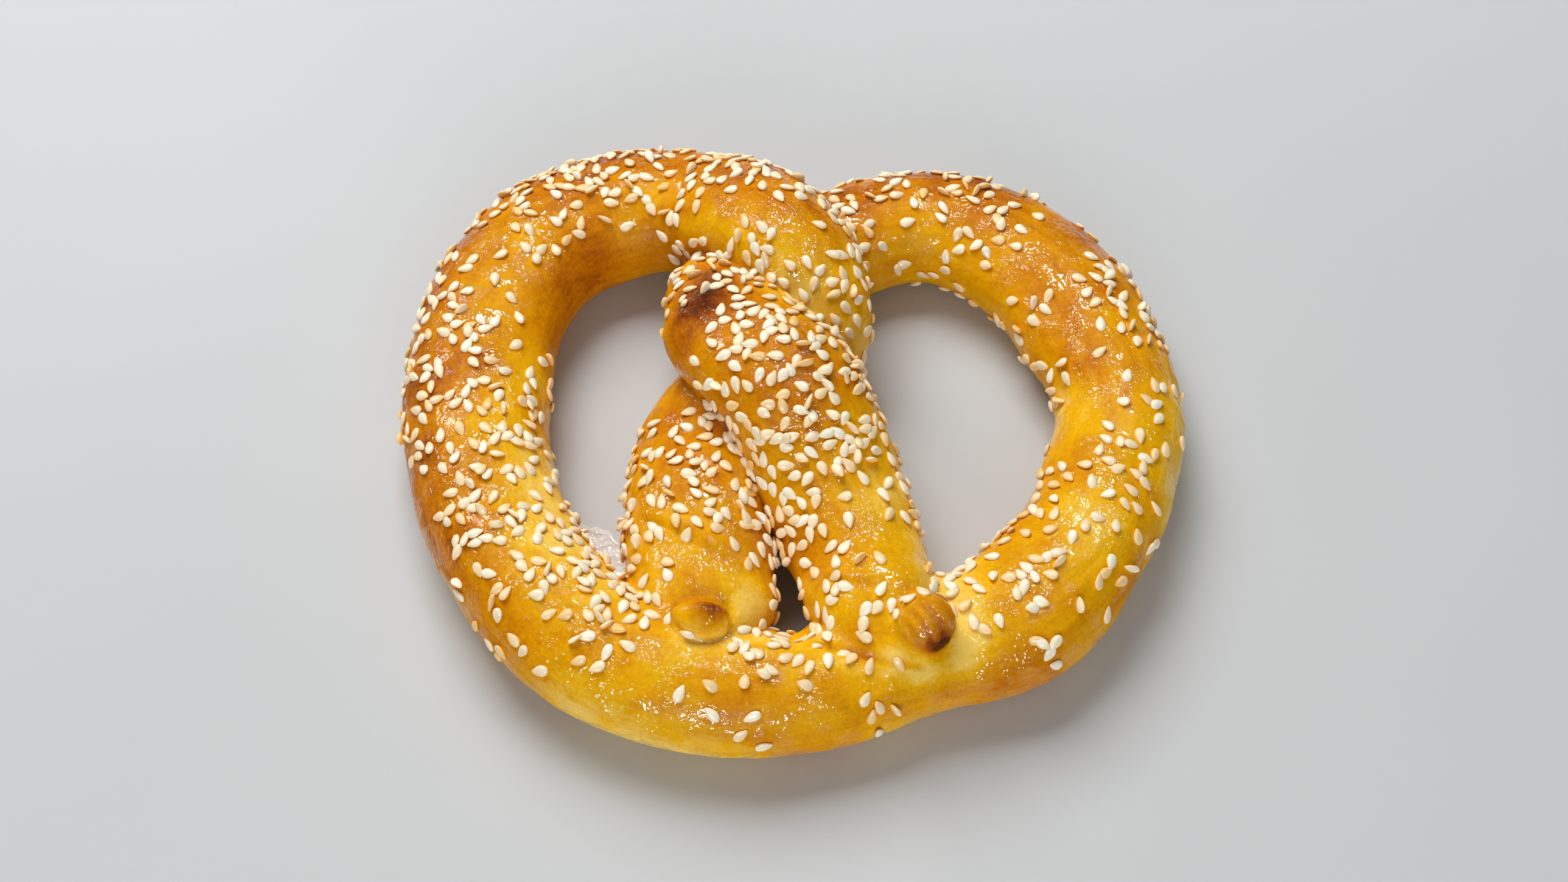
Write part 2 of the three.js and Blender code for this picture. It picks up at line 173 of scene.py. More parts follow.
# Patches of crust: x, y, z, reach, and how much browner (or, below zero, paler) it is. Most are
# baked colour; some are painted shade and some painted light, as marked below.
BAKED_AND_PAINTED_LIGHT_PATCHES = [
    # around the twist
    (-15.5, 25, 29.5, 9.5, 0.32), (-16, 17, 29.5, 8, 0.3), (-24, 64, 18, 8, 0.12),
    (-30, 44, 14, 8, 0.2), (-8, 54, 25, 13, 0.24), (-4, 46, 29, 8, 0.16), (8, 33, 28, 5, 0.12),
    (8, 54, 17, 9, 0.32), (-23, 43, 17, 7, 0.18), (18, 54, 17, 7, 0.1), (-31, 66, 22, 8, 0.12),
    (8, 42, 26, 6, 0.1), (-21, 18, 26, 6, 0.16), (4, 40, 28, 6, 0.08), (18, 18, 14, 8, -0.24),
    (-32, 42, 14, 7, -0.18), (-2, 26.5, 28, 8, -0.3), (4, 20, 24, 8, -0.26),
    (-11, 34.5, 28.5, 4, -0.2), (-30, 55, 19, 8, -0.14), (-2, 33, 28, 5, -0.14),
    # the two arms
    (-21.5, 9.5, 28, 4.5, 0.24), (-4, 8, 33, 13, 0.14), (-21, -19, 21, 6, 0.24),
    # (-2.5, -27) is painted shade in the groove between the arms.
    (0, -6, 32, 9, 0.1), (-23, -10, 19, 9, 0.12), (-2.5, -27, 12, 7, 0.42),
    (-27, -3, 12, 7, 0.12), (6, -36, 17, 4, 0.16), (0, -14, 26, 8, 0.08), (-12, -17, 24, 6, 0.1),
    # (18, -7) is painted light on the right side of the right arm, which faces away from the key
    # light.
    (-22, 6, 22, 6, 0.08), (-23, -29, 20, 7, -0.26), (18, -7, 19, 8, -0.14), (9, 9, 30, 6, -0.1),
    (21.5, -31, 18, 8, -0.2), (17, -23, 20, 8, -0.28),
    # the left loop
    (-42, 69, 15, 10, 0.34), (-58, 63, 15, 10, 0.38), (-72, 48, 15, 10, 0.4),
    (-79, 30, 14, 10, 0.32), (-80, 10, 13, 9, 0.26), (-61.5, 9.5, 20.5, 4, 0.24),
    (-79, -8, 12, 9, 0.26), (-73, -25, 13, 8, 0.2), (-44, 40, 15, 9, 0.22),
    (-50, 24, 11, 9, 0.14), (-38, 44, 9, 9, 0.24), (-51, 54, 18, 8, 0.08), (-72, 10, 19, 11, 0.2),
    # (-71, -6) is painted shade that tones down a glint on the loop's outer side.
    (-62, 18, 17, 6, 0.1), (-71, -6, 16, 7, 0.1), (-72, 4, 18, 7, 0.08), (-51, 54, 20, 7, 0.08),
    (-52, -18, 19, 8, -0.16), (-62, 2, 20, 7, -0.1), (-49, -10, 15, 10, -0.26),
    (-55, 8, 18, 9, -0.16),
    # the right loop
    (24, 64, 13, 8, 0.42), (36, 64, 13, 8, 0.4), (48, 59, 14, 8, 0.34), (61, 49, 15, 8, 0.26),
    (71, 37, 13, 8, 0.12), (45, 49, 19, 5, 0.08), (36, 54, 19, 9, 0.28), (57, 30, 19, 8, 0.16),
    # (48, 44), (48, 30) and (38, 43) are painted shade that tones down the sheen on the right
    # loop's back crest.
    (47, -18, 12, 8, 0.14), (68, 5, 18, 7, 0.12), (58, 11, 19, 8, 0.22), (48, 44, 19, 6, 0.1),
    # (77, 0), and the patches at x 78 below, are painted light on the outer side, which faces
    # away from the key light.
    (48, 30, 19, 7, 0.14), (68, 7, 18, 6, 0.08), (38, 43, 19, 6, 0.12), (77, 0, 12, 13, -0.22),
    (58, 40, 18, 8, -0.1), (32, 43, 14, 9, -0.14), (54.5, 9, 14, 7, -0.22),
    (58, -22, 19, 12, -0.16), (30, 50, 18, 7, -0.14), (70, 6, 18, 9, -0.1),
    (78, -18, 12, 8, -0.18), (78, 18, 12, 7, -0.12), (78, -5, 13, 7, -0.14),
    (38, 29, 12, 6, -0.1), (78, 6, 13, 6, -0.08),
    # the front
    (-62, -36, 14, 8, 0.2), (44, -60, 8, 11, 0.14), (8, -70, 6, 8, 0.12), (-72, -31, 12, 8, 0.12),
    (-56, -52, 13, 10, 0.16), (-42, -56, 16, 8, 0.1), (-12, -66, 16, 8, 0.18),
    (0, -70, 8, 11, 0.2), (68, -36, 12, 9, 0.14), (15, -64, 15, 10, 0.08), (34, -60, 14, 7, 0.1),
    (64, -40, 10, 9, 0.14), (58, -55, 10, 8, 0.1), (-62, -28, 18, 7, 0.2), (48, -42, 15, 7, 0.08),
    (-41, -54, 16, 7, 0.1), (-44, -29, 18, 10, -0.24), (8, -65, 15, 7, -0.16),
    # (-26, -69) and (-6, -70) are painted light on the lower front of the belly, where little
    # light reaches.
    (-38, -66, 8, 8, -0.14), (57, -31, 18, 8, -0.12), (-26, -69, 8, 16, -0.2),
    (-42, -58, 15, 7, -0.24), (-6, -70, 8, 14, -0.12), (20, -68, 6, 10, -0.12),
    (-40, -36, 15, 8, -0.12), (44, -33, 14, 9, -0.12), (17, -59, 18, 3.5, -0.18),
    (24, -59.5, 17, 3.5, -0.16), (-71, -42, 9, 8, -0.22), (-47, -30, 20, 9, -0.12),
    # around the two ends
    (-15.2, -47.6, 22.6, 3.4, 0.62), (-17.5, -54, 13, 2.5, 0.2), (27.6, -55.8, 21.6, 3.5, 0.85),
    (27.8, -52.5, 25, 4.2, 0.18), (23, -57, 24, 3, 0.16), (14, -48, 24, 7, 0.04),
    (11, -47.7, 22, 5, 0.06), (-21, -42, 19, 6, 0.08), (-31, -43, 19, 7, -0.26),
    (-21, -55, 18, 6, -0.24), (-11, -54, 18, 6, -0.14), (28, -43, 17, 6, -0.26),
    (18, -54, 20, 5, -0.12), (6, -54, 19, 5, -0.16), (31, -55.5, 16.5, 5.5, -0.4),
    (34, -50, 17.5, 5, -0.34), (24.5, -57.6, 18, 3.5, -0.36), (18.5, -56.4, 19, 3, -0.3),
    (-9.5, -43, 17.5, 6, -0.26), (-18.4, -52.4, 17.6, 2.6, -0.22), (8, -46, 20, 6, -0.1),
    (28, -41, 16, 7, -0.22), (9, -56.5, 19, 3.5, -0.16), (-1, -54, 17, 6, -0.12),
]

# Where the brush laid on little glaze: x, y, z, reach, and how much of it is missing.
BARE_PATCHES = [
    (-36, 43, 8, 13, 0.9), (-50, 28, 8, 13, 0.9), (-30, 14, 20, 8, 0.6), (28, 42, 8, 10, 0.7),
    (42, 37, 8, 9, 0.6), (30, -2, 14, 12, 0.6), (-34, -12, 8, 10, 0.6), (16, -57.5, 18.5, 5, 0.9),
    (9, -55.5, 19, 3.5, 0.5), (-37, 44, 14, 4.5, 0.9), (-26, 47.5, 16, 4, 0.9),
    (-20, -41.5, 21.5, 7, 0.6),
]

# Where the seeds lie thicker or thinner: x, y, reach, and by how much.
SEED_PATCHES = [
    # around the twist
    (-7, 32, 8, 0.9), (12, 30, 8, 0.2), (12, 54, 10, 0.45), (0, 43, 8, -0.55), (-26, 55, 7, -0.1),
    (-20, 62, 14, 0.4), (-16, 43, 7, -0.3), (2, 32, 6, -0.25), (12, 20, 6, -0.25),
    (-12, 43, 7, -0.4), (-16, 21, 6, 0.3), (-7, 21, 5, -0.3), (8, 46, 6, 0.5), (11, 40, 5, 0.3),
    (-9, 40, 5, -0.2), (-7, 51, 6, 0.45), (0, 46, 5, 0.3),
    # the two arms
    (0, 4, 12, 1.1), (2, -10, 9, 0.8), (-2, -10, 14, 0.55), (-18, -22, 14, 0.45),
    (-3, -28, 9, 0.8), (11, 4, 9, 0.5), (7, -13, 9, 0.25), (-27, 9, 9, -0.9), (-26, -13, 7, 0.5),
    (12, -25, 10, -0.6), (-26, -36, 6, -0.3), (-7, -2, 6, -0.3), (2, -13, 7, 0.3),
    (-7, 10, 7, 0.3), (-35, -24, 6, -0.35), (-16, 10, 5, -0.25), (21, -24, 6, 0.25),
    (-16, -36, 6, -0.55), (21, -36, 6, -0.35), (-8, -24, 6, -0.5), (-17, -24, 6, 0.3),
    (-26, -25, 5, -0.3),
    # the left loop
    (-48, 56, 12, 1), (-62, 20, 8, 0.3), (-50, 20, 8, -0.35), (-63, -4, 9, 0.35),
    (-74, 8, 9, 0.35), (-70, 14, 16, 0.25), (-58, -22, 13, 0.45), (-38, 42, 10, -0.45),
    (-63, 32, 7, -0.3), (-44, 34, 9, -0.45), (-73, -24, 10, -0.4), (-54, 21, 6, -0.3),
    (-63, -2, 6, -0.25), (-35, 43, 6, -0.25), (-72, -13, 7, -0.3), (-63, 43, 7, -0.3),
    (-35, 54, 6, -0.3), (-54, 10, 6, -0.25),
    # the right loop
    (24, 42, 9, -0.35), (50, -26, 9, 0.3), (64, -14, 9, 0.15), (80, -20, 11, -0.9),
    (79, 10, 8, -0.45), (66, 32, 8, 0.3), (40, 54, 8, 0.3), (67, -14, 7, 0.3), (60, 44, 10, -0.4),
    (56, 8, 9, -0.45), (56, -6, 8, -0.25), (58, -25, 7, -0.35), (38, 34, 8, -0.25),
    (58, 20, 7, -0.3), (25, 38, 3.5, 0.7), (34, 33, 3.5, 0.4), (41, 26, 3.5, 0.7),
    (46.5, 19, 3.5, 0.6), (53, 11, 4, 0.6), (58, 43, 8, -0.3), (71, 10, 8, -0.25),
    (58, -2, 6, -0.3), (67, -25, 6, 0.2), (39, 34, 6, -0.35), (49, -24, 6, -0.25),
    (77, 10, 6, 0.25), (30, 32, 5, -0.25), (77, -13, 6, -0.3),
    # the front
    (-76, -34, 9, -0.45), (-44, -34, 10, 0.75), (-38, -56, 6, 0.4), (-26, -79, 10, -1),
    (-26, -58, 7, -0.25), (-26, -68, 7, -0.2), (-64, -46, 9, -0.3), (-38, -58, 12, -0.3),
    (-12, -60, 12, -0.1), (2, -67, 10, -0.45), (20, -64, 9, -0.2), (40, -40, 10, 0.6),
    (30, -64, 9, -0.3), (58, -47, 7, -0.3), (-35, -70, 7, -0.6), (-72, -36, 7, -0.12),
    (49, -36, 8, -0.3), (39, -58, 7, -0.65), (49, -47, 7, -0.25), (39, -36, 7, -0.3),
    (-44, -47, 6, -0.2), (67, -36, 7, -0.3), (-44, -58, 7, -0.3), (-26, -69, 6, 0.15),
    (-72, -34, 8, -0.25),
    # around the two ends
    (-34, -46, 8, 0.7), (-1, -50.5, 5, 0.9), (-10, -51.5, 3.5, 0.9), (-4, -54, 4.5, 0.6),
    (6, -56, 6, 0.15), (-14, -47, 6.5, -1.1), (26.5, -53.5, 5.5, -1.2), (20, -47, 5, 0.4),
    (30, -47, 6, 0.3),
]

# Seeds that cling under the curve of the right loop, around its opening:
# x, y, z, reach, and how readily they stick.
RIM_SEED_PATCHES = [
    (17, 40.5, 9, 3, 0.22), (24, 42.5, 7.5, 3, 0.25), (30, 41.5, 7.5, 3, 0.25),
    (36, 38.5, 7, 3, 0.25), (41, 33.5, 7, 3, 0.25), (45.5, 27, 7, 3, 0.25),
    (49.5, 20, 8, 3, 0.22), (54, 6, 9, 3, 0.25),
]


def srgb(red, green, blue):
    """A colour picked as 0 to 255 on a screen, as the linear one that Blender wants."""
    levels = [value / 255.0 for value in (red, green, blue)]
    linear = [
        level / 12.92 if level <= 0.04045 else ((level + 0.055) / 1.055) ** 2.4
        for level in levels
    ]
    return (*linear, 1.0)


# ---------------- settings


def number(name, description, default, **kind):
    return bpy.props.FloatProperty(
        name=name, description=description, default=default, **kind
    )


def length(name, description, default):
    return number(name, description, default * MM, min=0.0, unit="LENGTH")


def power(name, description, default):
    return number(name, description, default, min=0.0, subtype="POWER")


def colour(name, description, red, green, blue):
    return bpy.props.FloatVectorProperty(
        name=name, description=description, default=srgb(red, green, blue),
        size=4, min=0.0, max=1.0, subtype="COLOR",
    )


class DoughSettings(bpy.types.PropertyGroup):
    grid: length("Mesh size", "Edge of one face of the dough's skin", 0.7)
    crease: length("Crease softness", "How softly two strands meet", 1.7)
    foot: length("Foot softness", "How softly the right end is pressed on", 6.0)
    rim: length("Rim", "Rounding where the dough meets the table", 1.6)
    lump: length("Lumps", "Height of the broad unevenness of the rope", 0.75)
    dimple: length("Dimples", "Height of the smaller unevenness", 0.28)
    wrinkle: length("Wrinkles", "Height of the lengthwise wrinkles in the skin", 0.10)
    cream: colour("Cream", "Least baked dough", 250, 210, 96)
    yellow: colour("Yellow", "Lightly baked dough", 240, 180, 6)
    gold: colour("Gold", "Evenly baked crust", 222, 150, 0)
    amber: colour("Amber", "Well baked crust", 197, 114, 0)
    chestnut: colour("Chestnut", "Dark crust", 134, 62, 10)
    burnt: colour("Burnt", "Darkest spots of the crust", 70, 26, 8)


class SeedSettings(bpy.types.PropertyGroup):
    count: bpy.props.IntProperty(
        name="Count", description="Number of sesame seeds", default=1240, min=1
    )
    seed_length: length("Length", "Length of one seed", 3.3)
    seed_width: length("Width", "Width of one seed", 2.15)
    seed_height: length("Thickness", "Thickness of one seed", 1.0)
    gap: length("Gap", "Least distance between the middles of two seeds", 1.95)
    sunk: length("Sunk", "How deep a seed sits in the crust", 0.25)
    white: colour("White", "Palest seed", 255, 247, 224)
    # The tan is also the colour of the painted warm shade on the seeds' lower rims.
    tan: colour("Tan", "Most toasted seed", 248, 198, 110)


class GlazeSettings(bpy.types.PropertyGroup):
    height: length("Film thickness", "Thickness of the glaze that ran onto the table", 0.3)
    tint: colour("Tint", "Colour of the thin glaze", 250, 248, 242)


class StageSettings(bpy.types.PropertyGroup):
    floor: colour("Floor", "Pale paper under the pretzel", 201, 203, 204)
    floor_size: length("Floor size", "Edge of the square floor", 3000.0)
    sky: number("Fill", "Strength of the light from all around", 0.165, min=0.0)
    key: power("Key", "Power of the soft light from behind", 12.3)
    front: power("Front", "Power of the soft light in front", 3.4)
    gleam: power("Gleam", "Power of the panels that show in the glaze", 2.0)
    lens: number("Lens", "Focal length in millimetres", 50.0, unit="CAMERA")
    distance: length("Distance", "From the camera to the middle of the pretzel", 441.7)
    elevation: number(
        "Elevation", "Angle of the camera over the table", math.radians(56.0), subtype="ANGLE"
    )


# ---------------- number tools


class Rope:
    """Evenly spaced samples of the rope: middles, directions and half sizes."""

    def __init__(self):
        places, sizes = curve_through(STATIONS[:, :3], STATIONS[:, 3:], CURVE_PARTS)
        steps = np.linalg.norm(np.diff(places, axis=0), axis=1)
        travelled = np.concatenate([[0.0], np.cumsum(steps)])
        self.distance = np.arange(0.0, travelled[-1], SAMPLE_STEP)
        self.middle = resample(self.distance, travelled, places)
        width, thickness = (resample(self.distance, travelled, sizes) / 2.0).T
        self.half = np.stack([np.minimum(width, thickness), width, thickness], axis=1)
        self.along = unit(np.gradient(self.middle, axis=0))
        self.across = unit(np.cross(self.along, [0.0, 0.0, 1.0]))
        self.up = np.cross(self.across, self.along)


def unit(vectors):
    return vectors / np.maximum(np.linalg.norm(vectors, axis=-1, keepdims=True), 1e-9)


def resample(wanted, known, rows):
    return np.stack([np.interp(wanted, known, column) for column in rows.T], axis=1)


def curve_through(points, sizes, parts):
    """A centripetal Catmull-Rom curve, and the sizes straight between its points."""
    first = 2 * points[0] - points[1]
    last = 2 * points[-1] - points[-2]
    knots = np.vstack([first, points, last])
    share = np.linspace(0.0, 1.0, parts, endpoint=False)[:, None]
    places = []
    widths = []
    for index in range(len(points) - 1):
        a, b, c, d = knots[index : index + 4]
        before, span, after = (
            math.sqrt(np.linalg.norm(q - p)) for p, q in ((a, b), (b, c), (c, d))
        )
        leave = (b - a) / before - (c - a) / (before + span) + (c - b) / span
        arrive = (c - b) / span - (d - b) / (span + after) + (d - c) / after
        leave = leave * span
        arrive = arrive * span
        square = 3 * (c - b) - 2 * leave - arrive
        cube = 2 * (b - c) + leave + arrive
        places.append(b + leave * share + square * share**2 + cube * share**3)
        widths.append(sizes[index] * (1 - share) + sizes[index + 1] * share)
    return np.vstack([*places, points[-1:]]), np.vstack([*widths, sizes[-1:]])


def corner_weights(part):
    """The corners of a grid cell, and how much each one counts at a place inside it."""
    for corner in np.ndindex(2, 2, 2):
        corner = np.array(corner)
        yield corner, np.prod(np.where(corner == 1, part, 1 - part), axis=1)


def ripple(points, size, seed):
    """Smooth unevenness from -1 to 1 whose lumps are about size apart, on each axis."""
    levels = np.random.default_rng(RANDOM_START + seed).uniform(-1.0, 1.0, 4096)
    scaled = points / size
    cell = np.floor(scaled).astype(np.int64)
    part = scaled - cell
    part = part * part * part * (part * (part * 6 - 15) + 10)
    total = np.zeros(len(points))
    for corner, weight in corner_weights(part):
        spot = (cell + corner) * (73856093, 19349663, 83492791)  # large primes mix the cells
        total += weight * levels[(spot[:, 0] ^ spot[:, 1] ^ spot[:, 2]) % len(levels)]
    return total


def smooth_min(first, second, softness):
    blend = np.maximum(softness - np.abs(first - second), 0.0) / softness
    return np.minimum(first, second) - blend * blend * softness / 4.0


def patches_at(points, patches):
    """How much soft round patches add at each point: middle, reach and amount of each."""
    total = np.zeros(len(points))
    for *middle, reach, amount in patches:
        away = np.linalg.norm(points - np.array(middle), axis=1) / reach
        total += amount * np.exp(-away * away)
    return total


# ---------------- the dough's shape


def height_over_sample(rope, index, axes):
    """Height over one sample's ellipsoid, on the block of the grid around it."""
    middle = rope.middle[index]
    half = rope.half[index]
    reach = half.max() + SKIN_REACH
    block = tuple(
        slice(*np.searchsorted(axis, (middle[i] - reach, middle[i] + reach)))
        for i, axis in enumerate(axes)
    )
    away = [axes[i][block[i]] - middle[i] for i in range(3)]
    x, y, z = np.meshgrid(*away, indexing="ij", sparse=True)
    flat = [rope.along[index], rope.across[index], rope.up[index]]
    scaled = [
        (x * direction[0] + y * direction[1] + z * direction[2]) / size
        for direction, size in zip(flat, half)
    ]
    ratio = np.sqrt(sum(part**2 for part in scaled))
    distance = np.sqrt(x * x + y * y + z * z)
    return block, distance * (1.0 - 1.0 / np.maximum(ratio, 1e-3))


def rope_heights(rope, axes):
    """Height over the nearest strand, that strand's sample, and height over the next."""
    shape = tuple(len(axis) for axis in axes)
    nearest = np.full(shape, SKIN_REACH, np.float32)
    other = np.full(shape, SKIN_REACH, np.float32)
    owner = np.zeros(shape, np.int32)
    count = len(rope.middle)
    for index in range(count):
        block, height = height_over_sample(rope, index, axes)
        closer = height < nearest[block]
        nearest[block] = np.where(closer, height, nearest[block])
        owner[block] = np.where(closer, index, owner[block])
    for index in range(count):
        block, height = height_over_sample(rope, index, axes)
        apart = np.abs(owner[block] - index) * SAMPLE_STEP > SAME_STRAND
        closer = apart & (height < other[block])
        other[block] = np.where(closer, height, other[block])
    return nearest, owner, other


def net_over(field, grid):
    """Vertices and four-sided faces of a mesh over the zero of a field."""
    low, step = grid
    inside = field < 0
    count = np.zeros(tuple(n - 1 for n in field.shape), np.int8)
    for corner in np.ndindex(2, 2, 2):
        count += inside[tuple(slice(c, n - 1 + c) for c, n in zip(corner, field.shape))]
    mixed = (count > 0) & (count < 8)
    cells = np.argwhere(mixed)
    numbers = np.full(mixed.shape, -1, np.int64)
    numbers[mixed] = np.arange(len(cells))
    steps = np.eye(3, dtype=np.int64)
    total = np.zeros((len(cells), 3))
    crossings = np.zeros(len(cells))
    for axis in range(3):
        for corner in np.ndindex(2, 2, 2):
            if corner[axis]:
                continue
            first = field[tuple((cells + corner).T)]
            second = field[tuple((cells + corner + steps[axis]).T)]
            crosses = (first < 0) != (second < 0)
            share = np.where(crosses, first / np.where(crosses, first - second, 1.0), 0.0)
            total += (np.array(corner) + share[:, None] * steps[axis]) * crosses[:, None]
            crossings += crosses
    vertices = low + (cells + total / crossings[:, None]) * step
    faces = []
    for axis in range(3):
        second = steps[(axis + 1) % 3]
        third = steps[(axis + 2) % 3]
        start = np.argwhere(np.diff(inside, axis=axis))
        start = start[(start @ second > 0) & (start @ third > 0)]
        around = (second + third, third, 0, second)
        quads = np.stack([numbers[tuple((start - back).T)] for back in around], axis=1)
        outward = inside[tuple(start.T)]
        quads[~outward] = quads[~outward][:, ::-1]
        faces.append(quads)
    return vertices, np.vstack(faces)


def read_grid(values, grid, points):
    """Values between the points of a grid, given as its lowest corner and its step."""
    low, step = grid
    scaled = (points - low) / step
    cell = np.clip(np.floor(scaled).astype(np.int64), 0, np.array(values.shape) - 2)
    part = np.clip(scaled - cell, 0.0, 1.0)
    total = np.zeros(len(points))
    for corner, weight in corner_weights(part):
        total += weight * values[tuple((cell + corner).T)]
    return total


def slope_of(field, grid, points):
    """The direction in which the field rises, and how steeply."""
    slope = np.zeros_like(points)
    for axis in range(3):
        nudge = np.zeros(3)
        nudge[axis] = grid[1] * SLOPE_STEP
        ahead = read_grid(field, grid, points + nudge)
        behind = read_grid(field, grid, points - nudge)
        slope[:, axis] = (ahead - behind) / (2 * nudge[axis])
    return slope


def spread_evenly(vertices, faces, field, grid):
    """Slides the vertices to even distances and sets them back on the skin."""
    count = len(vertices)
    corners = faces.ravel()
    uses = np.bincount(corners, minlength=count)[:, None]
    for _ in range(EVENING_ROUNDS):
        middles = np.repeat(vertices[faces].mean(axis=1), faces.shape[1], axis=0)
        total = [np.bincount(corners, column, minlength=count) for column in middles.T]
        mean = np.stack(total, axis=1) / uses
        vertices = vertices + EVENING_SHARE * (mean - vertices)
        slope = slope_of(field, grid, vertices)
        steep = np.maximum((slope**2).sum(1)[:, None], LEAST_SLOPE)
        vertices = vertices - slope * read_grid(field, grid, vertices)[:, None] / steep
    return vertices


def dough_field(settings, axes, nearest, other):
    """The dough on a grid, below zero inside it: rope, soft joints, tips and flat foot."""
    x, y, z = np.meshgrid(*axes, indexing="ij", sparse=True)
    across = (x - PRESSED_PLACE[0]) / PRESSED_REACH[0]
    along = (y - PRESSED_PLACE[1]) / PRESSED_REACH[1]
    pressed = np.exp(-(across**2) - along**2)
    crease = settings.crease / MM
    field = smooth_min(nearest, other, crease + pressed * (settings.foot / MM - crease))
    for *middle, wide, deep, tall, joint in TIPS:
        away = [axis - place for axis, place in zip((x, y, z), middle)]
        ratio = sum((part / size) ** 2 for part, size in zip(away, (wide, deep, tall)))
        ratio = np.maximum(np.sqrt(ratio), 1e-3)
        field = smooth_min(field, (ratio - 1.0) * min(wide, deep, tall), joint)
    return -smooth_min(-field, z + 0 * field, settings.rim / MM)


def place_on_rope(rope, sample, vertices):
    """How far along the rope and how far around it each vertex is."""
    away = vertices - rope.middle[sample]
    beside = (away * rope.across[sample]).sum(1) / rope.half[sample, 1]
    above = (away * rope.up[sample]).sum(1) / rope.half[sample, 2]
    travelled = rope.distance[sample] + (away * rope.along[sample]).sum(1)
    girth = (rope.half[sample, 1] + rope.half[sample, 2]) / 2
    around = np.arctan2(beside, above) * girth
    return np.stack([travelled, around, np.zeros(len(around))], axis=1)


def shape_dough(settings):
    """Vertices, faces and skin values of the dough: baked colour with painted shade and light,
    bareness and rope place.
    """
    rope = Rope()
    step = settings.grid / MM
    margin = rope.half[:, :, None].max() + SKIN_REACH
    low = rope.middle.min(axis=0) - margin
    high = rope.middle.max(axis=0) + margin
    low[2] = -BELOW_TABLE - step / 2
    axes = [np.arange(low[i], high[i], step).astype(np.float32) for i in range(3)]
    nearest, owner, other = rope_heights(rope, axes)
    field = dough_field(settings, axes, nearest, other)
    grid = (low, step)
    vertices, faces = net_over(field, grid)
    vertices = spread_evenly(vertices, faces, field, grid)
    normals = unit(slope_of(field, grid, vertices))
    cell = np.round((vertices - low) / step).astype(int)
    cell = np.clip(cell, 0, np.array(field.shape) - 1)
    rope_place = place_on_rope(rope, owner[tuple(cell.T)], vertices)
    # Closeness to the next strand sets the painted shade in the creases.
    closeness = np.clip(1.0 - read_grid(other, grid, vertices) / CREASE_REACH, 0.0, 1.0)
    vertices = roughen(settings, vertices, normals, rope_place)
    # The crust's level of baking, with painted shade and painted light added in.
    bake = browning_and_shade(vertices, normals, closeness)
    bare = np.clip(patches_at(vertices, BARE_PATCHES), 0.0, 1.0)
    return vertices, faces, bake, bare, rope_place


def roughen(settings, vertices, normals, rope_place):
    """Lumps, dimples and lengthwise wrinkles, fading out on the flat underside."""
    free = np.clip((vertices[:, 2] - FLAT_HEIGHT) / FADE_HEIGHT, 0.0, 1.0)
    wrinkled = np.clip(ripple(vertices, size=21.0, seed=5) * WRINKLED_GAIN, 0.0, 1.0)
    wrinkle_height = settings.wrinkle / MM * (LEAST_WRINKLED + wrinkled)
    rise = settings.lump / MM * ripple(vertices, size=19.0, seed=1)
    rise += settings.dimple / MM * ripple(vertices, size=7.0, seed=2)
    rise += wrinkle_height * ripple(rope_place, size=(9.0, 1.7, 1.0), seed=3)
    rise += GRAIN_HEIGHT * ripple(vertices, size=2.2, seed=4)
    rise += RIDGE_HEIGHT * knob_ridges(vertices)
    rise += sum(fold_height(vertices, *fold) for fold in FOLDS)
    rise += patches_at(vertices, SWELLS)
    moved = vertices + normals * (rise * free)[:, None]
    moved[:, 2] = np.maximum(moved[:, 2], 0.0)
    return moved


def knob_ridges(vertices):
    """Where the curved ridges in the knob on the right end rise, 1, and sink, -1."""
    from_knob = np.linalg.norm(vertices - np.array(KNOB), axis=1)
    ring = np.linalg.norm(vertices - np.array(RIDGE_MIDDLE), axis=1)
    return np.exp(-((from_knob / KNOB_REACH) ** 2)) * np.sin(ring * 2 * math.pi / RIDGE_GAP)


def fold_height(vertices, width, height, *points):
    """How much a fold along a row of points lifts the skin."""
    nearest = np.full(len(vertices), np.inf)
    for start, end in zip(points, points[1:]):
        start = np.array(start)
        span = np.array(end) - start
        share = np.clip((vertices - start) @ span / (span @ span), 0.0, 1.0)
        away = vertices - start - share[:, None] * span
        nearest = np.minimum(nearest, (away**2).sum(axis=1))
    return height * np.exp(-nearest / width**2)


def browning_and_shade(vertices, normals, closeness):
    """How well each spot of the crust is baked, from 0 to 1, with painted shade in folds and
    creases and painted light and shade from some patches.
    """
    bake = SIDE_BAKE + TOP_BAKE_AND_SHADE * normals[:, 2]
    bake += BROAD_BAKE * ripple(vertices, size=15.0, seed=6)
    bake += FINE_BAKE * ripple(vertices, size=6.0, seed=7)
    bake += patches_at(vertices, BAKED_AND_PAINTED_LIGHT_PATCHES)
    bake -= RIDGE_PALING * knob_ridges(vertices)
    bake += FOLD_BAKE_AND_SHADE * sum(np.abs(fold_height(vertices, *fold)) for fold in FOLDS)
    bake += PAINTED_CREASE_SHADE * closeness
    bake += UNDER_BAKE * np.clip((UNDER_HEIGHT - vertices[:, 2]) / UNDER_HEIGHT, 0.0, 1.0)
    return np.clip(bake, 0.0, 1.0)


# ---------------- mesh and node tools


def mesh_object(name, vertices, faces, material, **skin_values):
    """A smooth mesh object from vertices in millimetres, and the values on its skin."""
    mesh = bpy.data.meshes.new(name)
    rows = faces.tolist() if isinstance(faces, np.ndarray) else faces
    mesh.from_pydata((np.asarray(vertices) * MM).tolist(), [], rows)
    mesh.validate()
    mesh.shade_smooth()
    mesh.materials.append(material)
    for value_name, values in skin_values.items():
        give_values(mesh, value_name, values)
    thing = bpy.data.objects.new(name, mesh)
    bpy.context.scene.collection.objects.link(thing)
    return thing


